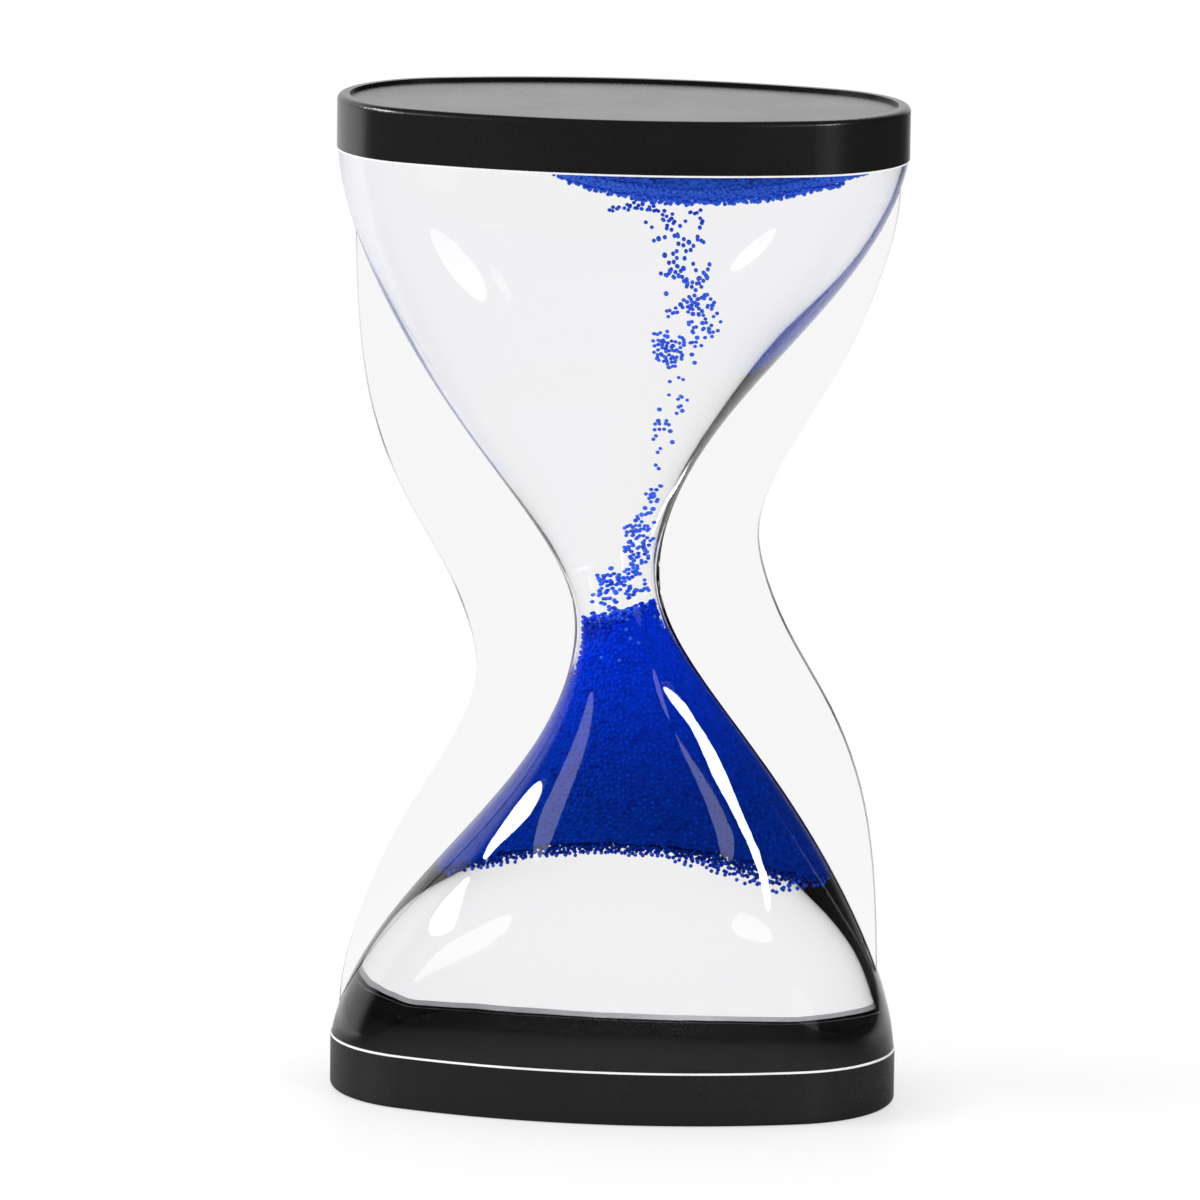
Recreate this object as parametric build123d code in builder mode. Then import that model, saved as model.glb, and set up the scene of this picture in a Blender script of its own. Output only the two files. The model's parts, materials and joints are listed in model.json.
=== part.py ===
from build123d import *
from math import cos, hypot, pi, sin
import os

# Liquid timer: a clear sand-glass shaped chamber between two black caps, full of liquid.
# Beads lighter than the liquid rise from the lower chamber through the neck.
# X is the width, Y the depth with the front at -Y, and Z is up. Z = 0 is the face it stands on.
# Half a turn about the front-to-back line through the middle leaves the whole shape as it was.

# Whole object
timer_height = 140.8
overrun = 1.0

# Caps
cap_width = 79.6
cap_depth = 42.0
cap_end_radius = 17.1
cap_height = 7.4
cap_edge_radius = 0.8
cap_skirt_wall = 1.4
cap_panel_wall = 1.6
panel_inset = 1.7
panel_sink = 0.5

# Clear body: ends and spigots that the caps slip over
body_inset = 0.15
spigot_gap = 0.1
mouth_wall = 1.6

# Clear body: chamber between the ends
neck_width = 12.8
neck_depth = 11.2
chamber_wall = 1.6

# Stations from the middle up to the cap, as shares of the half height between the caps.
# Each growth share says how far a size has grown from the neck's to the cap end's.
station_shares = (0.0, 0.2, 0.4, 0.6, 0.8, 0.92, 1.0)
near_growth_shares = (0.0, 0.030, 0.238, 0.553, 0.845, 0.959, 1.0)
far_growth_shares = (0.0, 0.209, 0.492, 0.732, 0.911, 0.980, 1.0)
depth_growth_shares = (0.0, 0.120, 0.364, 0.660, 0.965, 1.0, 1.0)
wall_growth_shares = (0.0, 0.0, 0.0, 0.0, 0.0, 0.4, 1.0)

# Wings: flat webs in the middle plane. Edge points run from the lower left to the upper left,
# as shares of half the cap width and of the whole height.
wing_thickness = 1.8
wing_reach_shares = (
    0.970, 0.957, 0.901, 0.774, 0.597, 0.510, 0.492, 0.510, 0.608, 0.751, 0.869, 0.917, 0.932, 0.937
)
wing_height_shares = (
    0.073, 0.116, 0.173, 0.258, 0.344, 0.397, 0.429, 0.461, 0.529, 0.599, 0.685, 0.770, 0.855, 0.912
)
wing_root_share = 0.7

# End plugs that close the mouths, and the stopper of the fill hole
flange_thickness = 1.0
plug_gap = 0.15
plug_reach = 2.7
plug_plate = 1.6
plug_skirt = 1.8
fill_hole_diameter = 5.0
stopper_gap = 0.02
stopper_head_diameter = 8.0
stopper_head_thickness = 1.2

# Liquid and beads
liquid_gap = 0.1
bead_diameter = 0.66
bead_film = 0.05
bead_wall_gap = 0.3
column_pitch = 1.0

# Packed beads in the lower chamber and neck: arched underside and sloping top.
# Shares are of the whole height.
mass_left_foot_x = -24.0
mass_left_foot_share = 0.2173
mass_crown_x = -3.0
mass_crown_share = 0.2607
mass_right_foot_x = 29.0
mass_right_foot_share = 0.2237
mass_top_left_share = 0.4787
mass_top_right_share = 0.5043

# Beads gathered under the ceiling: part of a flat dome hanging point down
layer_x = 10.3
layer_radius = 26.6
layer_thickness = 6.7

# Puffs of rising beads, from the neck up: place of the middle, lean, and spread each way.
# Middle and half height are shares of the whole height.
puff_x = (0.3, 2.9, 6.4, 8.7, 9.0, 8.1)
puff_middle_shares = (0.5256, 0.5852, 0.6918, 0.7741, 0.8168, 0.8594)
puff_lean = (1.2, 1.5, 1.0, 0.4, 0.0, 0.0)
puff_spread = (2.0, 1.6, 2.4, 3.4, 3.3, 3.2)
puff_tall_shares = (0.0157, 0.0243, 0.0229, 0.0186, 0.0186, 0.0229)
beads_in_puff = 5
turn_share = 0.618
rise_share = 0.755

half_height = timer_height / 2
clear_half = half_height - cap_height
body_half_width = cap_width / 2 - body_inset
body_half_depth = cap_depth / 2 - body_inset
end_round_share = (cap_end_radius - body_inset) / body_half_depth
spigot_inset = cap_skirt_wall + spigot_gap
mouth_inset = spigot_inset + mouth_wall
foot_wall = mouth_inset - body_inset
spigot_end = panel_sink + cap_panel_wall + flange_thickness
floor_z = spigot_end + plug_reach
ceiling_z = timer_height - floor_z
bead_radius = bead_diameter / 2


def lens(z, centre, half_width, half_depth, end_radius):
    # Two wide arcs front and back, joined smoothly by two round ends
    gain = half_width**2 - 2 * half_width * end_radius + half_depth**2
    wide_radius = gain / (2 * (half_depth - end_radius))
    reach = half_width - end_radius
    lift = wide_radius - half_depth
    span = hypot(reach, lift)
    touch_x = reach + end_radius * reach / span
    touch_y = end_radius * lift / span
    right_front = (centre + touch_x, -touch_y)
    right_back = (centre + touch_x, touch_y)
    left_back = (centre - touch_x, touch_y)
    left_front = (centre - touch_x, -touch_y)
    with BuildSketch(Plane.XY.offset(z)) as outline:
        with BuildLine():
            ThreePointArc(left_front, (centre, -half_depth), right_front)
            ThreePointArc(right_front, (centre + half_width, 0), right_back)
            ThreePointArc(right_back, (centre, half_depth), left_back)
            ThreePointArc(left_back, (centre - half_width, 0), left_front)
        make_face()
    return outline.sketch


def cap_outline(z, inset):
    return lens(z, 0, cap_width / 2 - inset, cap_depth / 2 - inset, cap_end_radius - inset)


def chamber_sections(shrink, inside=True):
    # Sections from bottom to top. Below the middle the left side is the near one,
    # and above it the right side is.
    rows = []
    for share, near, far, deep, thick in zip(
        station_shares, near_growth_shares, far_growth_shares, depth_growth_shares, wall_growth_shares
    ):
        near_reach = neck_width / 2 + near * (body_half_width - neck_width / 2)
        far_reach = neck_width / 2 + far * (body_half_width - neck_width / 2)
        depth = neck_depth / 2 + deep * (body_half_depth - neck_depth / 2)
        inset = shrink
        if inside:
            inset += chamber_wall + thick * (foot_wall - chamber_wall)
        rows.append((half_height - share * clear_half, near_reach, far_reach, depth, inset))
        if share:
            rows.append((half_height + share * clear_half, far_reach, near_reach, depth, inset))
    sections = []
    for z, left, right, depth, inset in sorted(rows):
        radius = end_round_share * depth - inset
        sections.append(lens(z, (right - left) / 2, (right + left) / 2 - inset, depth - inset, radius))
    return sections


def wing(side):
    # Side -1 is the left wing. The right one is the same after half a turn in the middle plane.
    edge = []
    for reach, rise in zip(wing_reach_shares, wing_height_shares):
        z = rise * timer_height
        edge.append((side * reach * cap_width / 2, z if side < 0 else timer_height - z))
    root_x = side * wing_root_share * neck_width / 2
    with BuildSketch(Plane.XZ) as web:
        with BuildLine():
            Spline(*edge)
            Polyline(edge[-1], (root_x, edge[-1][1]), (root_x, edge[0][1]), edge[0])
        make_face()
    return web.sketch


def turned_over(shape):
    # Half a turn about the front-to-back line through the middle of the timer
    return shape.rotate(Axis((0, 0, half_height), (0, 1, 0)), 180)


# Clear body: chamber, wings and spigots in one moulding
with BuildPart() as clear_body:
    loft(chamber_sections(0, inside=False))
    for side in (-1, 1):
        extrude(wing(side), amount=wing_thickness / 2, both=True)
    extrude(cap_outline(spigot_end, spigot_inset), amount=cap_height - spigot_end)
    extrude(cap_outline(timer_height - cap_height, spigot_inset), amount=cap_height - spigot_end)
    loft(chamber_sections(0), mode=Mode.SUBTRACT)
    extrude(
        cap_outline(spigot_end - overrun, mouth_inset),
        amount=cap_height - spigot_end + overrun,
        mode=Mode.SUBTRACT,
    )
    extrude(
        cap_outline(timer_height - cap_height, mouth_inset),
        amount=cap_height - spigot_end + overrun,
        mode=Mode.SUBTRACT,
    )
clear_body.part.label = "clear_body"

# Caps: panel sunk in the outer face, rounded outer edge, skirt over the spigot
with BuildPart() as bottom_cap:
    extrude(cap_outline(0, 0), amount=cap_height)
    fillet(bottom_cap.edges().group_by(Axis.Z)[0], cap_edge_radius)
    extrude(
        cap_outline(panel_sink + cap_panel_wall, cap_skirt_wall),
        amount=cap_height,
        mode=Mode.SUBTRACT,
    )
    extrude(cap_outline(0, panel_inset), amount=panel_sink, mode=Mode.SUBTRACT)
bottom_cap.part.label = "bottom_cap"

with BuildPart() as top_cap:
    add(turned_over(bottom_cap.part))
top_cap.part.label = "top_cap"

# End plugs: flange on the spigot's end, hollow skirt in the mouth, plate against the liquid
with BuildPart() as bottom_end_plug:
    extrude(cap_outline(spigot_end - flange_thickness, spigot_inset), amount=flange_thickness)
    extrude(cap_outline(spigot_end, mouth_inset + plug_gap), amount=floor_z - spigot_end)
    extrude(
        cap_outline(spigot_end - flange_thickness, mouth_inset + plug_gap + plug_skirt),
        amount=floor_z - plug_plate - spigot_end + flange_thickness,
        mode=Mode.SUBTRACT,
    )
bottom_end_plug.part.label = "bottom_end_plug"

with BuildPart() as top_end_plug:
    add(turned_over(bottom_end_plug.part))
    with Locations((0, 0, ceiling_z)):
        Cylinder(
            fill_hole_diameter / 2,
            plug_plate + overrun,
            align=(Align.CENTER, Align.CENTER, Align.MIN),
            mode=Mode.SUBTRACT,
        )
top_end_plug.part.label = "top_end_plug"

# Stopper of the fill hole: shank flush with the liquid side of the plate, head under the cap
with BuildPart() as fill_stopper:
    with BuildSketch(Plane.XY.offset(ceiling_z)):
        Circle(fill_hole_diameter / 2 - stopper_gap)
    extrude(amount=plug_plate)
    with BuildSketch(Plane.XY.offset(ceiling_z + plug_plate)):
        Circle(stopper_head_diameter / 2)
    extrude(amount=stopper_head_thickness)
fill_stopper.part.label = "fill_stopper"


def packed_mass(gap):
    # Beads packed against the walls up to the neck, grown by the gap when used as a cutter
    corner_left = (mass_left_foot_x - gap, mass_left_foot_share * timer_height - gap)
    corner_right = (mass_right_foot_x + gap, mass_right_foot_share * timer_height - gap)
    crown = (mass_crown_x, mass_crown_share * timer_height - gap)
    top_left_z = mass_top_left_share * timer_height + gap
    top_right_z = mass_top_right_share * timer_height + gap
    with BuildSketch(Plane.XZ) as side_view:
        with BuildLine():
            ThreePointArc(corner_left, crown, corner_right)
            Polyline(
                corner_right,
                (mass_right_foot_x + gap, top_right_z),
                (neck_width / 2, top_right_z),
                (-neck_width / 2, top_left_z),
                (mass_left_foot_x - gap, top_left_z),
                corner_left,
            )
        make_face()
    with BuildPart() as mass:
        loft(chamber_sections(bead_wall_gap - gap))
        extrude(side_view.sketch, amount=cap_depth, both=True, mode=Mode.INTERSECT)
    return mass.part


def ceiling_layer(gap):
    # Flat dome of beads hanging point down, cut off by the front and back walls
    dome_radius = (layer_radius**2 + layer_thickness**2) / (2 * layer_thickness)
    bottom_z = ceiling_z - layer_thickness - overrun
    with BuildPart() as layer:
        extrude(cap_outline(bottom_z, mouth_inset + bead_wall_gap - gap), amount=ceiling_z - bottom_z)
        with Locations((layer_x, 0, ceiling_z - layer_thickness + dome_radius)):
            Sphere(dome_radius + gap, mode=Mode.INTERSECT)
    return layer.part


def bead_places():
    # Each bead stands in a column of its own, so that one puff can rise past another
    taken = set()
    puffs = []
    steps = int(cap_depth / 2 / column_pitch)
    for x, middle_share, lean, spread, tall_share in zip(
        puff_x, puff_middle_shares, puff_lean, puff_spread, puff_tall_shares
    ):
        middle_z = middle_share * timer_height
        tall = tall_share * timer_height
        places = []
        for number in range(beads_in_puff):
            level = ((number + 1) * rise_share % 1) * 2 - 1
            reach = spread * ((number + 1 / 2) / beads_in_puff) ** (1 / 2)
            angle = 2 * pi * number * turn_share
            wanted_x = x + lean * level + reach * cos(angle)
            wanted_y = reach * sin(angle)
            free = []
            for i in range(-steps, steps + 1):
                for j in range(-steps, steps + 1):
                    if (i, j) not in taken:
                        away = hypot(i * column_pitch - wanted_x, j * column_pitch - wanted_y)
                        free.append((away, i, j))
            column = min(free)[1:]
            taken.add(column)
            places.append((column[0] * column_pitch, column[1] * column_pitch, middle_z + tall * level))
        puffs.append(places)
    return puffs


bead_puffs = bead_places()

with BuildPart() as lower_bead_mass:
    add(packed_mass(0))
lower_bead_mass.part.label = "lower_bead_mass"

with BuildPart() as upper_bead_layer:
    add(ceiling_layer(0))
upper_bead_layer.part.label = "upper_bead_layer"

# Liquid: fills the chamber from plug to plug and leaves room for every bead at rest
with BuildPart() as clear_liquid:
    loft(chamber_sections(liquid_gap))
    extrude(cap_outline(floor_z, mouth_inset + liquid_gap), amount=cap_height - floor_z)
    extrude(cap_outline(ceiling_z, mouth_inset + liquid_gap), amount=floor_z - cap_height)
    add(packed_mass(bead_wall_gap - liquid_gap + bead_film), mode=Mode.SUBTRACT)
    add(ceiling_layer(bead_film), mode=Mode.SUBTRACT)
    for places in bead_puffs:
        with Locations(*places):
            Cylinder(bead_radius + bead_film, bead_diameter + 2 * bead_film, mode=Mode.SUBTRACT)
clear_liquid.part.label = "clear_liquid"

os.makedirs("parts", exist_ok=True)
for piece in (
    clear_body,
    bottom_cap,
    top_cap,
    bottom_end_plug,
    top_end_plug,
    fill_stopper,
    clear_liquid,
    lower_bead_mass,
    upper_bead_layer,
):
    export_step(piece.part, f"parts/{piece.part.label}.step")

# Rising puffs: each bead is a solid, and the beads of one puff move together
for number, places in enumerate(bead_puffs, 1):
    with BuildPart() as puff:
        with Locations(*places):
            Sphere(bead_radius)
    puff.part.label = f"rising_beads_{number}"
    export_step(puff.part, f"parts/{puff.part.label}.step")
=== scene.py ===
import bpy, bmesh, bisect, json, math, random
import numpy as np
from mathutils import Matrix, Vector
from mathutils.bvhtree import BVHTree
from mathutils.kdtree import KDTree


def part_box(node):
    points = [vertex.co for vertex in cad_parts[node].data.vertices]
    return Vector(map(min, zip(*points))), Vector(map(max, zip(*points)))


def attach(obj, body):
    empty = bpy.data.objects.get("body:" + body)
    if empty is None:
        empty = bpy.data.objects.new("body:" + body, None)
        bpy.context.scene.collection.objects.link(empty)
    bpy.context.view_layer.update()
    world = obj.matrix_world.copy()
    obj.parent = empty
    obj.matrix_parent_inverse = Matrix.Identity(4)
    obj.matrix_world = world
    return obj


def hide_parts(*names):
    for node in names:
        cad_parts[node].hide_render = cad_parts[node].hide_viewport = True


# Liquid timer: clear hourglass chamber between two black caps, with blue beads rising in the liquid.
# Metres. X is the width, the front is at -Y, Z is up and the timer stands on z = 0.
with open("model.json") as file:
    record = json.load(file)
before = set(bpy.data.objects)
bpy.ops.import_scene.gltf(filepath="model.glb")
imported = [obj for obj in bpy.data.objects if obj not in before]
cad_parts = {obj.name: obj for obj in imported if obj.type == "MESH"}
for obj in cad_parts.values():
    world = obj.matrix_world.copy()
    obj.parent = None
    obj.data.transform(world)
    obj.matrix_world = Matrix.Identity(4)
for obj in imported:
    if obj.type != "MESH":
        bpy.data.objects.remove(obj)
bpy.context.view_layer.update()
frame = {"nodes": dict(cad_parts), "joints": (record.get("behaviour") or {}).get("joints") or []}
print("frame loaded:", len(frame["nodes"]), "nodes")

mm = 0.001
puffCount = 6


# Shader sums
class Wire:
    # an output of a shader tree, so that sums on it read as sums
    def __init__(self, tree, socket=None):
        self.tree = tree
        self.socket = socket

    def node(self, kind, settings=None, inputs=None, out=0):
        made = self.tree.nodes.new(kind)
        for name, value in (settings or {}).items():
            setattr(made, name, value)
        for name, value in (inputs or {}).items():
            self.feed(made.inputs[name], value)
        return Wire(self.tree, made.outputs[out] if made.outputs else None)

    def feed(self, socket, value):
        if isinstance(value, Wire):
            self.tree.links.new(value.socket, socket)
        else:
            socket.default_value = value

    def sum(self, operation, first, second):
        return self.node("ShaderNodeMath", {"operation": operation}, {0: first, 1: second})

    def __add__(self, other):
        return self.sum("ADD", self, other)

    def __radd__(self, other):
        return self.sum("ADD", other, self)

    def __sub__(self, other):
        return self.sum("SUBTRACT", self, other)

    def __rsub__(self, other):
        return self.sum("SUBTRACT", other, self)

    def __mul__(self, other):
        return self.sum("MULTIPLY", self, other)

    def __rmul__(self, other):
        return self.sum("MULTIPLY", other, self)

    def limited(self, low=0.0, high=1.0):
        return self.sum("MINIMUM", self.sum("MAXIMUM", self, low), high)

    def steps(self, low, high):
        # 0 below low, 1 above high, smooth between
        settings = {"interpolation_type": "SMOOTHSTEP"}
        return self.node("ShaderNodeMapRange", settings, {"Value": self, "From Min": low, "From Max": high})


def blendColours(wire, factor, first, second):
    settings = {"data_type": "RGBA"}
    inputs = {0: factor, 6: first, 7: second}
    return wire.node("ShaderNodeMix", settings, inputs, out=2)


def newFinish(name):
    finish = bpy.data.materials.new(name)
    finish.use_nodes = True
    finish.node_tree.nodes.clear()
    return finish, Wire(finish.node_tree)


def closeFinish(finish, wire, shader):
    wire.node("ShaderNodeOutputMaterial", None, {"Surface": shader})
    return finish


def rgb(red, green, blue):
    return (red, green, blue, 1.0)


def objectPlace(wire):
    return wire.node("ShaderNodeTexCoord", out="Object")


# Finishes
# the wet wall bends light by plastic against liquid, and the wings' rim is a little dull, with a grey tint
# that is painted shade for their outline
clearLook = {
    "tint": rgb(0.997, 0.997, 0.998), "bend": 1.50, "wetBend": 1.115,
    "rim": rgb(0.80, 0.80, 0.82), "rimRough": 0.12, "shade": rgb(0.97, 0.97, 0.975),
}


def makeClearPlastic(name, bend, tint, rough=0.0):
    # clear moulded plastic. Lamps pass it straight, so that they light what is inside
    finish, wire = newFinish(name)
    glass = wire.node("ShaderNodeBsdfPrincipled", None, {
        "Base Color": tint, "Roughness": rough, "IOR": bend, "Transmission Weight": 1.0,
    })
    clear = wire.node("ShaderNodeBsdfTransparent", None, {"Color": clearLook["shade"]})
    lampRay = wire.node("ShaderNodeLightPath", out="Is Shadow Ray")
    shader = wire.node("ShaderNodeMixShader", None, {0: lampRay, 1: glass, 2: clear})
    return closeFinish(finish, wire, shader)


liquidLook = {
    "tint": rgb(0.976, 0.976, 0.980), "thin": rgb(0.982, 0.982, 0.985), "clouds": 25.0,
    "gap": 0.03 * mm, "weld": 0.0001 * mm,
}


def makeLiquid():
    # the bending at the liquid's surface is in the chamber's wet wall, so the liquid only tints
    finish, wire = newFinish("timerLiquid")
    place = objectPlace(wire)
    cloud = wire.node("ShaderNodeTexNoise", None, {"Vector": place, "Scale": liquidLook["clouds"]})
    thick = wire.node("ShaderNodeBsdfTransparent", None, {"Color": liquidLook["tint"]})
    thin = wire.node("ShaderNodeBsdfTransparent", None, {"Color": liquidLook["thin"]})
    shader = wire.node("ShaderNodeMixShader", None, {0: cloud, 1: thick, 2: thin})
    return closeFinish(finish, wire, shader)


capLook = {
    "dark": rgb(0.006, 0.006, 0.0065), "pale": rgb(0.010, 0.010, 0.0105),
    "rough": 0.25, "shine": 0.82, "grain": 2600.0,
}
plugLook = {
    "dark": rgb(0.0015, 0.0015, 0.0015), "pale": rgb(0.003, 0.003, 0.003),
    "rough": 0.6, "shine": 0.02, "grain": 1800.0,
}
rubberLook = {
    "dark": rgb(0.009, 0.009, 0.009), "pale": rgb(0.014, 0.014, 0.014),
    "rough": 0.75, "shine": 0.3, "grain": 3500.0,
}
# what the black pieces share: slow clouds and fine moulded grain
blackLook = {
    "clouds": 70.0, "cloudDetail": 4.0, "cloudRough": 0.12, "grainDetail": 2.0, "grainRough": 0.10,
    "roughRange": (0.05, 0.95), "bump": 0.12, "grainDepth": 0.02 * mm,
}


def makeBlackPlastic(name, look):
    finish, wire = newFinish(name)
    place = objectPlace(wire)
    grain = wire.node("ShaderNodeTexNoise", None, {
        "Vector": place, "Scale": look["grain"], "Detail": blackLook["grainDetail"],
    })
    cloud = wire.node("ShaderNodeTexNoise", None, {
        "Vector": place, "Scale": blackLook["clouds"], "Detail": blackLook["cloudDetail"],
    })
    rough = look["rough"] + (cloud - 0.5) * blackLook["cloudRough"]
    rough = rough + (grain - 0.5) * blackLook["grainRough"]
    bump = wire.node("ShaderNodeBump", None, {
        "Strength": blackLook["bump"], "Distance": blackLook["grainDepth"], "Height": grain,
    })
    shader = wire.node("ShaderNodeBsdfPrincipled", None, {
        "Base Color": blendColours(wire, cloud, look["dark"], look["pale"]),
        "Roughness": rough.limited(*blackLook["roughRange"]),
        "Specular IOR Level": look["shine"], "Normal": bump,
    })
    return closeFinish(finish, wire, shader)


# one bead plastic in lit and shaded copies: packed beads are painted darker, as painted shade for how they
# shade each other, most of all low down where the heap is thick, and loose and ceiling ones are painted
# paler, as painted light
paintedShadePackedLook = {
    "deep": rgb(0.0005, 0.013, 0.19), "bright": rgb(0.001, 0.042, 0.42),
    "top": rgb(0.001, 0.044, 0.92), "shine": 0.0,
}
paintedLightLooseLook = {
    "deep": rgb(0.003, 0.035, 0.55), "bright": rgb(0.016, 0.100, 0.90),
    "top": rgb(0.034, 0.175, 1.00), "shine": 0.15,
}
paintedLightCeilingLook = {
    "deep": rgb(0.012, 0.085, 0.85), "bright": rgb(0.040, 0.200, 1.00),
    "top": rgb(0.040, 0.200, 1.00), "shine": 0.10,
}
# what all beads share: how far they differ, and how far below the neck the lighter top colour, which is
# painted light, starts
beadLook = {
    "clouds": 500.0, "cloudShare": 0.25, "paintedLightDepth": 30.0 * mm, "leastPaintedLight": 0.4,
    "rough": 0.35, "roughSpread": 0.2,
}


def makeBeadPlastic(name, look):
    # every bead has a shade of its own
    finish, wire = newFinish(name)
    chance = wire.node("ShaderNodeNewGeometry", out="Random Per Island")
    place = objectPlace(wire)
    cloud = wire.node("ShaderNodeTexNoise", None, {"Vector": place, "Scale": beadLook["clouds"]})
    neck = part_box("lower_bead_mass")[1].z
    level = wire.node("ShaderNodeSeparateXYZ", None, {0: place}, out="Z")
    # painted light: beads near the neck and above it are painted towards the lighter top colour
    high = level.steps(neck - beadLook["paintedLightDepth"], neck)
    mask = (chance * (1 - beadLook["cloudShare"]) + cloud * beadLook["cloudShare"]).limited()
    low = blendColours(wire, mask, look["deep"], look["bright"])
    paintedLightShare = high * (beadLook["leastPaintedLight"] + mask * (1 - beadLook["leastPaintedLight"]))
    shader = wire.node("ShaderNodeBsdfPrincipled", None, {
        "Base Color": blendColours(wire, paintedLightShare, low, look["top"]),
        "Roughness": beadLook["rough"] + chance * beadLook["roughSpread"],
        "Specular IOR Level": look["shine"],
    })
    return closeFinish(finish, wire, shader)


cementLook = {
    "white": rgb(0.92, 0.92, 0.93), "grey": rgb(0.80, 0.80, 0.82), "whiteFrom": (0.35, 0.65),
    "clouds": 90.0, "detail": 3.0, "rough": 0.15, "roughSpread": 0.2,
}


def makeSeamPlastic():
    # a thin line of set cement between cap and body, unevenly filled
    finish, wire = newFinish("seamPlastic")
    cloud = wire.node("ShaderNodeTexNoise", None, {
        "Vector": objectPlace(wire), "Scale": cementLook["clouds"], "Detail": cementLook["detail"],
    })
    mask = cloud.steps(*cementLook["whiteFrom"])
    shader = wire.node("ShaderNodeBsdfPrincipled", None, {
        "Base Color": blendColours(wire, mask, cementLook["grey"], cementLook["white"]),
        "Roughness": cementLook["rough"] + cloud * cementLook["roughSpread"],
    })
    return closeFinish(finish, wire, shader)


dryPlastic = makeClearPlastic("clearPlasticDry", clearLook["bend"], clearLook["tint"])
wetPlastic = makeClearPlastic("clearPlasticWet", clearLook["wetBend"], clearLook["tint"])
# the rim's grey tint is painted shade for the dark outline of the wing edges
rimPaintedShadePlastic = makeClearPlastic("clearPlasticRimPaintedShade", clearLook["bend"], clearLook["rim"], clearLook["rimRough"])
timerLiquid = makeLiquid()
capPlastic = makeBlackPlastic("capPlastic", capLook)
plugPlastic = makeBlackPlastic("plugPlastic", plugLook)
stopperRubber = makeBlackPlastic("stopperRubber", rubberLook)
# the packed copy is painted darker as painted shade, the loose and ceiling copies paler as painted light
paintedShadePackedPlastic = makeBeadPlastic("packedBeadsPaintedShade", paintedShadePackedLook)
paintedLightLoosePlastic = makeBeadPlastic("looseBeadsPaintedLight", paintedLightLooseLook)
paintedLightCeilingPlastic = makeBeadPlastic("ceilingBeadsPaintedLight", paintedLightCeilingLook)
seamPlastic = makeSeamPlastic()


def dress(node, finish):
    for place in frame["nodes"][node].material_slots:
        place.material = finish


for node, finish in {
    "bottom_cap": capPlastic, "top_cap": capPlastic, "bottom_end_plug": plugPlastic,
    "top_end_plug": plugPlastic, "fill_stopper": stopperRubber,
}.items():
    dress(node, finish)
for number in range(1, puffCount + 1):
    dress(f"rising_beads_{number}", paintedLightLoosePlastic)
print("finishes made")


# Pieces
def addPiece(name, mesh, body, slotName, *nodes):
    piece = bpy.data.objects.new(name, mesh)
    bpy.context.collection.objects.link(piece)
    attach(piece, body)
    if nodes:
        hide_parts(*nodes)
    return piece


# the walls mirror the lamps, so their copy gets finer faces and evened normals
wallLook = {
    "edge": 1.3 * mm, "turn": 0.7, "rounds": 4, "reach": 2.2 * mm, "alike": 0.93,
    "ownWeight": 1e-12, "rimHalf": 0.95 * mm, "rimFacing": 0.3,
}


def refineWalls(mesh):
    # splits long edges where the wall turns, and gives back every point's normal from the CAD
    facing = np.zeros((len(mesh.vertices), 3))
    for corner in mesh.loops:
        facing[corner.vertex_index] += mesh.corner_normals[corner.index].vector
    form = bmesh.new()
    form.from_mesh(mesh)
    layer = form.verts.layers.float_vector.new("facing")
    for v, normal in zip(form.verts, facing):
        v[layer] = Vector(normal).normalized()
    least = math.cos(math.radians(wallLook["turn"]))
    for _ in range(wallLook["rounds"]):
        long = []
        for e in form.edges:
            a, b = (v[layer].normalized() for v in e.verts)
            if e.calc_length() > wallLook["edge"] and a.dot(b) < least:
                long.append(e)
        bmesh.ops.subdivide_edges(form, edges=long, cuts=1, use_grid_fill=True)
        bmesh.ops.triangulate(form, faces=[f for f in form.faces if len(f.verts) > 3])
    normals = [v[layer].normalized() for v in form.verts]
    weights = [sum(f.calc_area() for f in v.link_faces) for v in form.verts]
    form.verts.layers.float_vector.remove(layer)
    form.to_mesh(mesh)
    form.free()
    return normals, weights


def evenWalls(mesh):
    # each normal becomes the mean of those near it that face about the same way
    normals, weights = refineWalls(mesh)
    tree = KDTree(len(mesh.vertices))
    for v in mesh.vertices:
        tree.insert(v.co, v.index)
    tree.balance()
    even = []
    for v, normal in zip(mesh.vertices, normals):
        total = normal * wallLook["ownWeight"]
        for _, k, gap in tree.find_range(v.co, wallLook["reach"]):
            if normals[k].dot(normal) > wallLook["alike"]:
                total += normals[k] * (weights[k] * (1 - (gap / wallLook["reach"])**2)**2)
        even.append(total.normalized()[:])
    mesh.normals_split_custom_set_from_vertices(even)


def makeClearShell():
    # faces that look at the chamber's middle line are wet, and the wings' thin edges are a little dull,
    # with a grey tint of painted shade
    mesh = frame["nodes"]["clear_body"].data.copy()
    mesh.name = "clear_shell"
    evenWalls(mesh)
    mesh.materials.clear()
    for finish in (dryPlastic, wetPlastic, rimPaintedShadePlastic):
        mesh.materials.append(finish)
    for face in mesh.polygons:
        c, n = face.center, face.normal
        outer = n.x * c.x + n.y * c.y >= 0
        face.material_index = 0 if outer else 1
        # the wings' thin edge faces take the rim finish and its painted shade
        if outer and abs(c.y) < wallLook["rimHalf"] and abs(n.y) < wallLook["rimFacing"]:
            face.material_index = 2
    addPiece("clear_shell", mesh, "timer", "clear_plastic", "clear_body")


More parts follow.
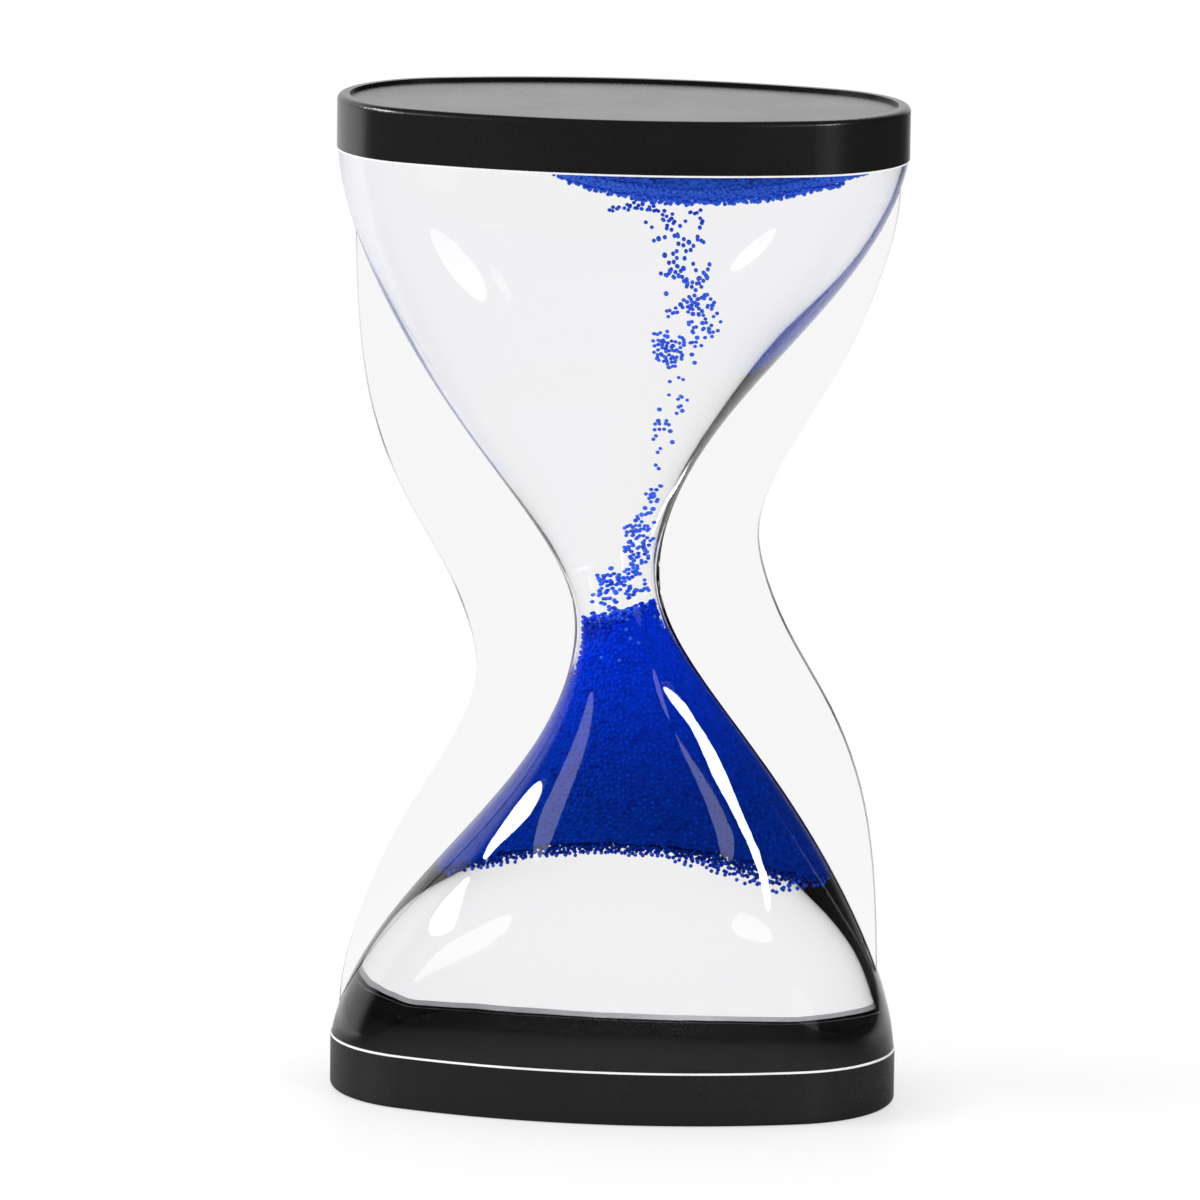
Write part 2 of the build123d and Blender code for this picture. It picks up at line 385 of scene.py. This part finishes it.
def makeLiquidFill():
    # the wet wall's own faces, a hair inside it, closed by a flat face at each plug
    low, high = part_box("bottom_end_plug")[1].z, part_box("top_end_plug")[0].z
    form = bmesh.new()
    form.from_mesh(frame["nodes"]["clear_body"].data)
    bmesh.ops.remove_doubles(form, verts=form.verts, dist=liquidLook["weld"])
    dry = []
    for face in form.faces:
        c = face.calc_center_median()
        if face.normal.x * c.x + face.normal.y * c.y >= 0:
            dry.append(face)
    bmesh.ops.delete(form, geom=dry, context="FACES")
    bmesh.ops.reverse_faces(form, faces=form.faces)
    form.normal_update()
    for v in form.verts:
        v.co -= v.normal * liquidLook["gap"]
    for level, up in ((low + liquidLook["gap"], -1), (high - liquidLook["gap"], 1)):
        geom = form.verts[:] + form.edges[:] + form.faces[:]
        cut = bmesh.ops.bisect_plane(
            form, geom=geom, plane_co=(0, 0, level), plane_no=(0, 0, up), clear_outer=True,
        )
        rim = [e for e in cut["geom_cut"] if isinstance(e, bmesh.types.BMEdge)]
        bmesh.ops.holes_fill(form, edges=rim, sides=0)
    bmesh.ops.recalc_face_normals(form, faces=form.faces)
    for face in form.faces:
        face.smooth = len(face.verts) <= 4
    mesh = bpy.data.meshes.new("liquid_fill")
    form.to_mesh(mesh)
    form.free()
    mesh.materials.append(timerLiquid)
    addPiece("liquid_fill", mesh, "timer", "liquid", "clear_liquid")


makeClearShell()
makeLiquidFill()
print("clear shell and liquid made")

# Beads
beadSizes = {"radius": 0.33 * mm, "spread": 0.07, "pitch": 0.60 * mm, "sink": 0.5, "weld": 0.001 * mm}


def ballForm(turns):
    form = bmesh.new()
    bmesh.ops.create_icosphere(form, subdivisions=turns, radius=1.0)
    points = np.array([v.co[:] for v in form.verts])
    faces = np.array([[v.index for v in f.verts] for f in form.faces])
    form.free()
    return points, faces


def addBeads(name, places, luck, body, finish, turns=1, size=1.0):
    # one mesh of many small balls, each a little different in size
    points, faces = ballForm(turns)
    sizes = [beadSizes["radius"] * size * (1 + luck.uniform(-1, 0.3) * beadSizes["spread"]) for _ in places]
    allPoints = np.concatenate([points * s + np.array(p) for s, p in zip(sizes, places)])
    allFaces = np.concatenate([faces + n * len(points) for n in range(len(places))])
    mesh = bpy.data.meshes.new(name)
    mesh.from_pydata(allPoints.tolist(), [], allFaces.tolist())
    mesh.shade_smooth()
    mesh.materials.append(finish)
    return addPiece(name, mesh, body, "blue_beads")


class Crowd:
    # places at least one pitch apart, found by squares of one pitch
    def __init__(self, pitch):
        self.pitch = pitch
        self.squares = {}
        self.places = []

    def key(self, p):
        return tuple(int(math.floor(c / self.pitch)) for c in p)

    def free(self, p):
        i, j, k = self.key(p)
        for a in (i - 1, i, i + 1):
            for b in (j - 1, j, j + 1):
                for c in (k - 1, k, k + 1):
                    for q in self.squares.get((a, b, c), ()):
                        if (p - q).length_squared < self.pitch**2:
                            return False
        return True

    def add(self, p):
        if not self.free(p):
            return False
        self.squares.setdefault(self.key(p), []).append(p)
        self.places.append(p)
        return True


def treeOf(node):
    mesh = frame["nodes"][node].data
    return BVHTree.FromPolygons([v.co for v in mesh.vertices], [tuple(p.vertices) for p in mesh.polygons])


def surfacePoints(node, count, luck):
    # random points on a node's surface, with the normal there
    mesh = frame["nodes"][node].data
    mesh.calc_loop_triangles()
    tris = mesh.loop_triangles
    total, sums = 0.0, []
    for tri in tris:
        total += tri.area
        sums.append(total)
    for _ in range(count):
        tri = tris[min(bisect.bisect(sums, luck.random() * total), len(tris) - 1)]
        a, b, c = (mesh.vertices[i].co for i in tri.vertices)
        u, v = luck.random(), luck.random()
        if u + v > 1:
            u, v = 1 - u, 1 - v
        yield a + (b - a) * u + (c - a) * v, tri.normal


coreLook = {"flat": 0.8, "topZone": 4.5 * mm}


def makeCore(name, node, body, finish, look):
    # dark middle of a heap, seen only between its outer beads
    form = bmesh.new()
    form.from_mesh(frame["nodes"][node].data)
    bmesh.ops.remove_doubles(form, verts=form.verts, dist=beadSizes["weld"])
    form.normal_update()
    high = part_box(node)[1]
    moves = {}
    for v in form.verts:
        ups = [f.normal.z for f in v.link_faces]
        move = Vector((v.normal.x, v.normal.y, 0)) * -look["coreIn"]
        if max(ups) > coreLook["flat"] and v.co.z > high.z - coreLook["topZone"]:
            move.z -= look["coreDown"]
        elif min(ups) < -coreLook["flat"]:
            move.z += look["coreUp"]
        moves[v] = move
    for v, move in moves.items():
        v.co += move
    for face in form.faces:
        face.smooth = True
    mesh = bpy.data.meshes.new(name)
    form.to_mesh(mesh)
    form.free()
    mesh.materials.append(finish)
    return addPiece(name, mesh, body, "blue_beads", node)


massLook = {
    "seed": 11, "tries": 70000, "topFacing": 0.8, "floorGap": 1.1, "thinFrom": 3.0 * mm, "thinning": 0.55,
    "looseTries": 26000, "looseDepth": 9.0 * mm, "looseWide": 7.0 * mm, "looseDeep": 6.0 * mm,
    "looseThinning": 0.6, "coreIn": 0.50 * mm, "coreDown": 8.0 * mm, "coreUp": 1.1 * mm,
}


def makePackedBeads(luck):
    # single beads against the walls, and loose ones in the top of the heap, fewer the higher they are
    crowd = Crowd(beadSizes["pitch"])
    node = "lower_bead_mass"
    low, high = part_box(node)
    top = high.z - massLook["looseDepth"]
    for point, normal in surfacePoints(node, massLook["tries"], luck):
        if normal.z > massLook["topFacing"]:
            continue
        if point.z > top + massLook["thinFrom"] and luck.random() < massLook["thinning"]:
            continue
        p = point - normal * beadSizes["radius"] * (1 + luck.random() * beadSizes["sink"])
        if p.z > low.z + beadSizes["radius"] * massLook["floorGap"]:
            crowd.add(p)
    wall = len(crowd.places)
    tree = treeOf(node)
    for _ in range(massLook["looseTries"]):
        x = luck.uniform(-1, 1) * massLook["looseWide"]
        y = luck.uniform(-1, 1) * massLook["looseDeep"]
        p = Vector((x, y, luck.uniform(top, high.z)))
        spot, normal, _, gap = tree.find_nearest(p)
        if (p - spot).dot(normal) < 0 and gap > beadSizes["radius"]:
            share = (p.z - top) / (high.z - top)
            if luck.random() < 1 - massLook["looseThinning"] * share:
                crowd.add(p)
    print("packed beads:", wall, "at the walls,", len(crowd.places) - wall, "loose")
    makeCore("packed_core", node, "packed_beads", paintedShadePackedPlastic, massLook)
    addBeads("packed_beads_outer", crowd.places[:wall], luck, "packed_beads", paintedShadePackedPlastic)
    addBeads("packed_beads_loose", crowd.places[wall:], luck, "packed_beads", paintedLightLoosePlastic)


# beads that hang below the heap drop lower from one place across to another, towards the right
hangLook = {
    "tries": 54000, "facing": -0.6, "from": 8.0 * mm, "to": 20.0 * mm, "dropLeft": 0.5 * mm,
    "dropRight": 2.6 * mm, "sink": 0.5, "pitch": 0.82 * mm, "wallGap": 0.25 * mm,
}


def makeHangingBeads(luck):
    node = "lower_bead_mass"
    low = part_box(node)[0]
    hanging = Crowd(hangLook["pitch"])
    walls = treeOf("clear_body")
    radius = beadSizes["radius"]
    for point, normal in surfacePoints(node, hangLook["tries"], luck):
        if normal.z > hangLook["facing"]:
            continue
        right = min(max((point.x - hangLook["from"]) / (hangLook["to"] - hangLook["from"]), 0), 1)
        drop = hangLook["dropLeft"] + (hangLook["dropRight"] - hangLook["dropLeft"]) * right
        p = point - Vector((0, 0, radius * hangLook["sink"] + drop * luck.random()))
        if p.z - radius > low.z and walls.find_nearest(p)[3] > hangLook["wallGap"] + radius:
            hanging.add(p)
    print("hanging beads:", len(hanging.places))
    addBeads("packed_beads_hanging", hanging.places, luck, "packed_beads", paintedLightLoosePlastic)


layerLook = {"seed": 12, "tries": 40000, "coreIn": 0.9 * mm, "coreDown": 0.3 * mm, "coreUp": 0.9 * mm}


def makeCeilingBeads(luck):
    crowd = Crowd(beadSizes["pitch"])
    node = "upper_bead_layer"
    for point, normal in surfacePoints(node, layerLook["tries"], luck):
        depth = beadSizes["radius"] * (1 + luck.random() * beadSizes["sink"])
        crowd.add(point - normal * depth)
    print("ceiling beads:", len(crowd.places))
    makeCore("ceiling_core", node, "ceiling_beads", paintedLightCeilingPlastic, layerLook)
    addBeads("ceiling_beads_outer", crowd.places, luck, "ceiling_beads", paintedLightCeilingPlastic)


# Clumps of the rising stream: place across, height, half width and half height in millimetres, then the
# strings of beads. A bead within "nearLayer" of the layer's own room rides with the layer
streamLook = {
    "clumps": (
        (1, 126.8, 3.0, 1.0, 11), (7, 126.6, 4.6, 1.4, 16), (7, 124.8, 3.9, 0.9, 15),
        (8, 122.6, 3.6, 1.0, 14), (7.5, 121, 0.9, 0.9, 6), (7, 119, 1.1, 0.8, 8),
        (10.5, 119.4, 1.9, 1.0, 9), (9.5, 118, 1.5, 0.8, 8), (10.3, 115, 2.1, 1.5, 24),
        (6.6, 114, 0.9, 0.8, 8), (9.1, 113.4, 0.9, 1.2, 12), (12, 113, 1.6, 1.0, 8),
        (10.7, 111.2, 2.0, 0.8, 13), (5.1, 110.4, 1.0, 1.0, 8), (6.2, 108.4, 1.9, 1.8, 28),
        (9.2, 109.4, 1.8, 1.1, 18), (7.5, 106.4, 2.0, 1.0, 12), (7.3, 103.7, 1.3, 0.5, 6),
        (7.3, 101.4, 1.3, 0.8, 7), (7.6, 98.6, 1.4, 1.4, 18), (5.4, 96.4, 1.6, 0.8, 13),
        (6.6, 95.4, 1.9, 1.0, 18), (4, 94.8, 0.4, 0.4, 2), (5.8, 92.9, 1.8, 0.7, 7),
        (5.7, 90.4, 1.6, 1.0, 9), (4.5, 86.9, 1.3, 1.0, 8), (4.1, 85.1, 1.0, 1.4, 13),
        (1.3, 80.9, 0.7, 1.0, 8), (3.3, 82.1, 1.1, 1.6, 15), (1.2, 78, 0.8, 1.4, 12),
        (3, 79.1, 0.7, 1.7, 13), (2.3, 75.8, 0.9, 1.6, 16), (0.7, 74.4, 0.4, 0.8, 4),
        (-1.5, 73.6, 1.0, 0.8, 12), (1.4, 73, 2.0, 1.2, 26), (-0.6, 71.2, 2.0, 1.6, 40),
        (1.8, 72, 1.4, 1.4, 40),
    ),
    "seed": 5, "deep": 1.2, "share": 1.45, "size": 0.87,
    "longest": 2, "step": 0.64 * mm, "turn": 0.9, "drift": 0.3,
    "apart": 0.66 * mm, "gap": 0.05 * mm, "farOff": 9.0 * mm, "nearLayer": 0.6 * mm,
}


def beadCentres(node):
    # middle of each loose ball of a node
    form = bmesh.new()
    form.from_mesh(frame["nodes"][node].data)
    bmesh.ops.remove_doubles(form, verts=form.verts, dist=beadSizes["weld"])
    left = set(form.verts)
    centres = []
    while left:
        group, front = set(), [left.pop()]
        while front:
            v = front.pop()
            group.add(v)
            for e in v.link_edges:
                other = e.other_vert(v)
                if other in left:
                    left.remove(other)
                    front.append(other)
        centres.append(sum((v.co for v in group), Vector()) / len(group))
    form.free()
    return centres


class StreamSpace:
    # Says where a rising bead may stand and what it rides with. "up" and "down" are the free ways from
    # a bead's middle to the layer above it and to the heap below it
    def __init__(self):
        self.ranges = {j["child"]: j["range_m"] for j in frame["joints"]}
        self.puffs = [f"puff_{n}" for n in range(1, puffCount + 1)]
        self.radius = beadSizes["radius"]
        self.taken = []
        self.tops = {}
        for n, body in enumerate(self.puffs, 1):
            self.taken += [(c, body) for c in beadCentres(f"rising_beads_{n}")]
            self.tops[body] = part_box(f"rising_beads_{n}")[1].z
        self.mass, self.layer = treeOf("lower_bead_mass"), treeOf("upper_bead_layer")
        self.walls = treeOf("clear_body")

    def room(self, p):
        up = self.layer.ray_cast(p, Vector((0, 0, 1)))[3] or self.radius + streamLook["farOff"]
        down = self.mass.ray_cast(p, Vector((0, 0, -1)))[3] or streamLook["farOff"]
        return up, down

    def bodyFor(self, p, up, down):
        # the mass or layer close to it, or else the lowest puff that reaches up to it
        if down < self.radius - self.ranges["puff_1"][0] + streamLook["gap"]:
            return "packed_beads"
        if up < self.radius - self.ranges["ceiling_beads"][0] + streamLook["gap"] + streamLook["nearLayer"]:
            return "ceiling_beads"
        return next((b for b in self.puffs if p.z + self.radius < self.tops[b]), "ceiling_beads")

    def neighbours(self, body):
        if body not in self.puffs:
            return []
        n = self.puffs.index(body)
        return self.puffs[max(n - 1, 0):n] + self.puffs[n + 1:n + 2]

    def shifts(self, body, other):
        # how far one body can stand from its place beside the other at the poses
        (a, b), (c, d) = self.ranges[body], self.ranges[other]
        return (0, a, b, -c, -d, a - c, b - d)

    def clear(self, p, body, up, down):
        # clear of the heap, the layer and other beads, also at the ends of their travel
        low, high = self.ranges[body]
        if body != "packed_beads" and down < self.radius - low + streamLook["gap"]:
            return False
        rise = max(high, -self.ranges["ceiling_beads"][0])
        if body != "ceiling_beads" and up < self.radius + rise + streamLook["gap"]:
            return False
        apart = streamLook["apart"]**2
        for q, other in self.taken:
            flat = (p.x - q.x)**2 + (p.y - q.y)**2
            if flat < apart:
                if body == other:
                    if flat + (p.z - q.z)**2 < beadSizes["pitch"]**2:
                        return False
                elif min(flat + (p.z - q.z + step)**2 for step in self.shifts(body, other)) < apart:
                    return False
        return True

    def inLiquid(self, p):
        # clear of the wall, on its wet side
        spot, normal, _, gap = self.walls.find_nearest(p)
        wet = normal.x * spot.x + normal.y * spot.y < 0
        return wet and (p - spot).dot(normal) > 0 and gap > self.radius + streamLook["gap"]

    def fits(self, p, body, up, down):
        travel = [self.inLiquid(p + Vector((0, 0, step))) for step in (0, *self.ranges[body])]
        return all(travel) and self.clear(p, body, up, down)


def makeRisingBeads(luck, space):
    # short strings of beads in clumps. Returns the beads of each body
    made = {}
    for x, z, wide, tall, strings in streamLook["clumps"]:
        for _ in range(round(strings * streamLook["share"])):
            angle, reach = luck.uniform(0, 2 * math.pi), luck.random()**0.5
            across, deep = x + wide * reach * math.cos(angle), luck.gauss(0, streamLook["deep"])
            p = Vector((across, deep, z + tall * reach * math.sin(angle))) * mm
            heading = luck.uniform(0, 2 * math.pi)
            for _ in range(luck.randint(1, streamLook["longest"])):
                up, down = space.room(p)
                first = space.bodyFor(p, up, down)
                bodies = (first, *space.neighbours(first))
                body = next((b for b in bodies if space.fits(p, b, up, down)), None)
                if body:
                    space.taken.append((p, body))
                    made.setdefault(body, []).append(p)
                heading += luck.uniform(-streamLook["turn"], streamLook["turn"])
                drift = luck.uniform(-streamLook["drift"], streamLook["drift"])
                p = p + Vector((math.cos(heading), drift, math.sin(heading))) * streamLook["step"]
    print("stream beads:", {body: len(places) for body, places in made.items()})
    return made


# beads that hang from the layer, well inside its outline, so that its edge is ragged
fringeLook = {"tries": 9000, "drop": 0.55 * mm, "pitch": 0.8 * mm, "inside": 0.5, "facing": -0.2}


def makeFringe(luck, space):
    fringe = Crowd(fringeLook["pitch"])
    low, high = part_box("upper_bead_layer")
    middle, half = (low + high) / 2, (high - low) / 2
    for point, normal in surfacePoints("upper_bead_layer", fringeLook["tries"], luck):
        p = point - Vector((0, 0, fringeLook["drop"] * luck.random()**2))
        if ((p.x - middle.x) / half.x)**2 + ((p.y - middle.y) / half.y)**2 > fringeLook["inside"]:
            continue
        if normal.z < fringeLook["facing"] and space.fits(p, "ceiling_beads", *space.room(p)):
            fringe.add(p)
    print("fringe beads:", len(fringe.places))
    addBeads("ceiling_beads_fringe", fringe.places, luck, "ceiling_beads", paintedLightCeilingPlastic)


def makeStream(luck):
    space = StreamSpace()
    made = makeRisingBeads(luck, space)
    makeFringe(luck, space)
    for body, places in made.items():
        addBeads("stream_" + body, places, luck, body, paintedLightLoosePlastic, turns=2, size=streamLook["size"])


# the line of cement that shows between cap and body. It stands a little higher round the back
seamLook = {
    "rise": 0.28 * mm, "backRise": 0.25 * mm, "reach": 0.13 * mm, "root": 0.02 * mm, "shoulder": 0.7,
    "endRadius": 17.1 * mm, "points": 48,
}


def capOutline(halfWide, halfDeep, endRadius, count):
    # two wide arcs front and back, joined smoothly by round ends, as points with outward directions
    wideRadius = (halfWide**2 - 2 * halfWide * endRadius + halfDeep**2) / (2 * (halfDeep - endRadius))
    reach = halfWide - endRadius
    half = math.atan2(reach, wideRadius - halfDeep)
    outline = []
    for centre, middle, spread, radius in (
        ((0, wideRadius - halfDeep), -math.pi / 2, half, wideRadius),
        ((reach, 0), 0, math.pi / 2 - half, endRadius),
        ((0, halfDeep - wideRadius), math.pi / 2, half, wideRadius),
        ((-reach, 0), math.pi, math.pi / 2 - half, endRadius),
    ):
        for n in range(count):
            angle = middle + spread * (2 * n / count - 1)
            out = Vector((math.cos(angle), math.sin(angle), 0))
            outline.append((Vector((*centre, 0)) + out * radius, out))
    return outline


def makeSeam(name, cap, up):
    # line of cement on the rim of the cap, against the clear body
    low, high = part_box(cap)
    level = high.z if up > 0 else low.z
    reach = seamLook["reach"]
    half = (high - low) / 2
    outline = capOutline(half.x, half.y, seamLook["endRadius"], seamLook["points"])
    points, faces = [], []
    for p, out in outline:
        rise = seamLook["rise"] + seamLook["backRise"] * max(out.y, 0)
        shoulder = (reach * seamLook["shoulder"], rise * seamLook["shoulder"])
        section = ((seamLook["root"], 0.0), shoulder, (reach, rise), (reach, 0.0))
        for inset, lift in section:
            q = p - out * inset
            points.append((q.x, q.y, level + up * lift))
    around = len(section)
    for n in range(len(outline)):
        for k in range(around):
            a, b = around * n + k, around * n + (k + 1) % around
            faces.append((a, b, (b + around) % len(points), (a + around) % len(points)))
    mesh = bpy.data.meshes.new(name)
    mesh.from_pydata(points, [], faces)
    form = bmesh.new()
    form.from_mesh(mesh)
    bmesh.ops.recalc_face_normals(form, faces=form.faces)
    form.to_mesh(mesh)
    form.free()
    mesh.materials.append(seamPlastic)
    addPiece(name, mesh, "timer", "clear_plastic")


packedLuck = random.Random(massLook["seed"])
makePackedBeads(packedLuck)
makeHangingBeads(packedLuck)
makeCeilingBeads(random.Random(layerLook["seed"]))
makeStream(random.Random(streamLook["seed"]))
makeSeam("bottom_seam", "bottom_cap", 1)
makeSeam("top_seam", "top_cap", -1)
print("beads and seams made")

# Stage. What the camera sees straight is near white. The clear walls mirror a floor that is dark in front
# and at the right, so that their edges show
floorLook = {
    "size": 6.0, "pale": rgb(0.94, 0.94, 0.945), "palest": rgb(0.96, 0.96, 0.965), "clouds": 3.0,
    "rough": 0.4, "shine": 0.15, "white": rgb(1.0, 1.0, 1.0), "glowShare": 0.55, "whiteFrom": (0.05, 0.16),
    "darkNear": rgb(0.22, 0.22, 0.22), "darkFar": rgb(0.05, 0.05, 0.05), "darkReach": (0.05, 0.25),
    "rightFrom": (0.1, 0.4), "backFrom": (0.0, 0.1),
}


def seenStraight(wire):
    # 1 for what the camera sees, also through clear parts, if nothing mirrored it on the way
    camera = wire.node("ShaderNodeLightPath", out="Is Camera Ray")
    through = wire.node("ShaderNodeLightPath", out="Is Transmission Ray")
    mirrored = wire.node("ShaderNodeLightPath", out="Glossy Depth")
    return (camera + through * (1 - mirrored.limited())).limited()


def makeFloor():
    half = floorLook["size"] / 2
    mesh = bpy.data.meshes.new("studioFloor")
    corners = [(-half, -half, 0), (half, -half, 0), (half, half, 0), (-half, half, 0)]
    mesh.from_pydata(corners, [], [(0, 1, 2, 3)])
    floor = bpy.data.objects.new("studioFloor", mesh)
    bpy.context.collection.objects.link(floor)
    finish, wire = newFinish("studioFloorPaint")
    place = objectPlace(wire)
    mirrored = wire.node("ShaderNodeLightPath", out="Glossy Depth").limited()
    across, deep = (wire.node("ShaderNodeSeparateXYZ", None, {0: place}, out=axis) for axis in "XY")
    right = across.steps(*floorLook["rightFrom"])
    front = 1 - deep.steps(*floorLook["backFrom"]) * (1 - right)
    cloud = wire.node("ShaderNodeTexNoise", None, {"Vector": place, "Scale": floorLook["clouds"]})
    pale = blendColours(wire, cloud, floorLook["pale"], floorLook["palest"])
    reach = wire.node("ShaderNodeVectorMath", {"operation": "LENGTH"}, {0: place}, out="Value")
    away = reach.steps(*floorLook["darkReach"])
    dark = blendColours(wire, away, floorLook["darkNear"], floorLook["darkFar"])
    matt = wire.node("ShaderNodeBsdfPrincipled", None, {
        "Base Color": blendColours(wire, mirrored * front, pale, dark),
        "Roughness": floorLook["rough"], "Specular IOR Level": floorLook["shine"],
    })
    glow = wire.node("ShaderNodeEmission", None, {"Color": floorLook["white"], "Strength": 1.0})
    far = reach.steps(*floorLook["whiteFrom"])
    share = seenStraight(wire) * (floorLook["glowShare"] + far * (1 - floorLook["glowShare"]))
    shader = wire.node("ShaderNodeMixShader", None, {0: share, 1: matt, 2: glow})
    mesh.materials.append(closeFinish(finish, wire, shader))


# a pale sheet behind the timer and a dark room in front of it, which only mirrored rays tell apart
skyLook = {
    "white": rgb(1.0, 1.0, 1.0), "room": 0.02, "onMatt": 0.85,
    "sheetFrom": (0.0, 0.3), "sheetTop": (0.5, 0.8), "sheetRight": (0.2, 0.6),
}


def makeSky():
    world = bpy.data.worlds.new("studioSky")
    bpy.context.scene.world = world
    world.use_nodes = True
    world.node_tree.nodes.clear()
    wire = Wire(world.node_tree)
    towards = wire.node("ShaderNodeTexCoord", out="Generated")
    across, deep, height = (
        wire.node("ShaderNodeSeparateXYZ", None, {0: towards}, out=axis) for axis in "XYZ"
    )
    sheet = deep.steps(*skyLook["sheetFrom"]) * (1 - height.steps(*skyLook["sheetTop"]))
    sheet = sheet * (1 - across.steps(*skyLook["sheetRight"]))
    diffuse = wire.node("ShaderNodeLightPath", out="Is Diffuse Ray")
    level = skyLook["room"] + sheet * (1 - skyLook["room"])
    level = level * (1 - diffuse) + diffuse * skyLook["onMatt"]
    studio = wire.node("ShaderNodeBackground", None, {"Color": skyLook["white"], "Strength": level})
    white = wire.node("ShaderNodeBackground", None, {"Color": skyLook["white"], "Strength": 1.0})
    shader = wire.node("ShaderNodeMixShader", None, {0: seenStraight(wire), 1: studio, 2: white})
    wire.node("ShaderNodeOutputWorld", None, {"Surface": shader})


makeFloor()
makeSky()

# each lamp stands at a bearing from the front (plus is right) and a height, in degrees seen from the timer
lampLook = {
    "boxRight": {"bearing": 50.2, "rise": 33.0, "wide": 18.6, "tall": 3.1, "tilt": 21.5, "glow": 34.0},
    "boxLeft": {"bearing": -75.6, "rise": 30.8, "wide": 29.0, "tall": 6.7, "tilt": 0.0, "glow": 30.0},
    "softRight": {"bearing": 34.2, "rise": 26.5, "wide": 11.7, "tall": 4.4, "tilt": -16.0, "glow": 2.2},
    "softLeft": {"bearing": -50.9, "rise": 22.8, "wide": 9.5, "tall": 26.5, "tilt": -42.1, "glow": 2.2},
    "lowRight": {"bearing": 48.0, "rise": 0.0, "wide": 18.0, "tall": 20.0, "tilt": 0.0, "glow": 0.7},
}
lampRing = {"away": 1.1, "aimHeight": 0.06, "spread": 180, "glareSpread": 160}

# glare of the lamps on the table, as long soft patches that only the flared upper walls mirror
glareLook = {
    "glareLeft": {"bearing": -47.5, "near": 0.133, "far": 0.345, "wide": 0.036, "glow": 2.6},
    "glareMiddle": {"bearing": -38.0, "near": 0.128, "far": 0.200, "wide": 0.010, "glow": 1.0},
    "glareRight": {"bearing": 33.3, "near": 0.150, "far": 0.300, "wide": 0.022, "glow": 3.0},
}


def addLamp(name, wide, tall, glow, place, axes, spread):
    data = bpy.data.lights.new(name, "AREA")
    data.shape = "ELLIPSE"
    data.size = wide
    data.size_y = tall
    data.energy = glow * math.pi * wide * tall * math.pi / 4  # pi times the ellipse's area gives one level
    data.spread = math.radians(spread)
    lamp = bpy.data.objects.new(name, data)
    bpy.context.collection.objects.link(lamp)
    lamp.matrix_world = Matrix.Translation(place) @ Matrix(axes).transposed().to_4x4()


def makeLamp(name, look):
    b, r, t = (math.radians(look[k]) for k in ("bearing", "rise", "tilt"))
    back = Vector((math.sin(b) * math.cos(r), -math.cos(b) * math.cos(r), math.sin(r)))
    right = Vector((math.cos(b), math.sin(b), 0))
    up = back.cross(right)
    axes = (right * math.cos(t) + up * math.sin(t), up * math.cos(t) - right * math.sin(t), back)
    wide, tall = (2 * lampRing["away"] * math.tan(math.radians(look[k] / 2)) for k in ("wide", "tall"))
    place = back * lampRing["away"] + Vector((0, 0, lampRing["aimHeight"]))
    addLamp(name, wide, tall, look["glow"], place, axes, lampRing["spread"])


def makeGlare(name, look):
    b = math.radians(look["bearing"])
    out = Vector((math.sin(b), -math.cos(b), 0))
    across = Vector((math.cos(b), math.sin(b), 0))
    middle = out * (look["near"] + look["far"]) / 2 + Vector((0, 0, mm))
    long, spread = look["far"] - look["near"], lampRing["glareSpread"]
    # the lamp shines along its own -Z, here straight up
    axes = (across, out, Vector((0, 0, -1)))
    addLamp(name, look["wide"], long, look["glow"], middle, axes, spread)


for name, look in lampLook.items():
    makeLamp(name, look)
for name, look in glareLook.items():
    makeGlare(name, look)
print("stage and lamps made")

# Camera
cameraLook = {
    "lens": 327.12, "sensor": 36.0, "clip": (0.05, 50.0), "distance": 1.5196,
    "elevation": 10.93, "turn": 6.95, "roll": 0.70, "aside": -0.00243, "height": 0.07023,
}


def makeCamera(look):
    e, a, r = (math.radians(look[k]) for k in ("elevation", "turn", "roll"))
    back = Vector((math.sin(a) * math.cos(e), -math.cos(a) * math.cos(e), math.sin(e)))
    right = Vector((math.cos(a), math.sin(a), 0))
    up = back.cross(right)
    place = Vector((0, 0, look["height"])) + back * look["distance"] + right * look["aside"]
    turnedRight = right * math.cos(r) + up * math.sin(r)
    turnedUp = up * math.cos(r) - right * math.sin(r)
    data = bpy.data.cameras.new("frontCamera")
    data.sensor_width = look["sensor"]
    data.lens = look["lens"]
    data.clip_start, data.clip_end = look["clip"]
    camera = bpy.data.objects.new("frontCamera", data)
    bpy.context.collection.objects.link(camera)
    turn = Matrix((turnedRight, turnedUp, back)).transposed()
    camera.matrix_world = Matrix.Translation(place) @ turn.to_4x4()
    bpy.context.scene.camera = camera


makeCamera(cameraLook)
scene = bpy.context.scene
scene.view_settings.view_transform = "Standard"
scene.cycles.max_bounces = 24
scene.cycles.transmission_bounces = 20
scene.cycles.transparent_max_bounces = 16
print("camera made")
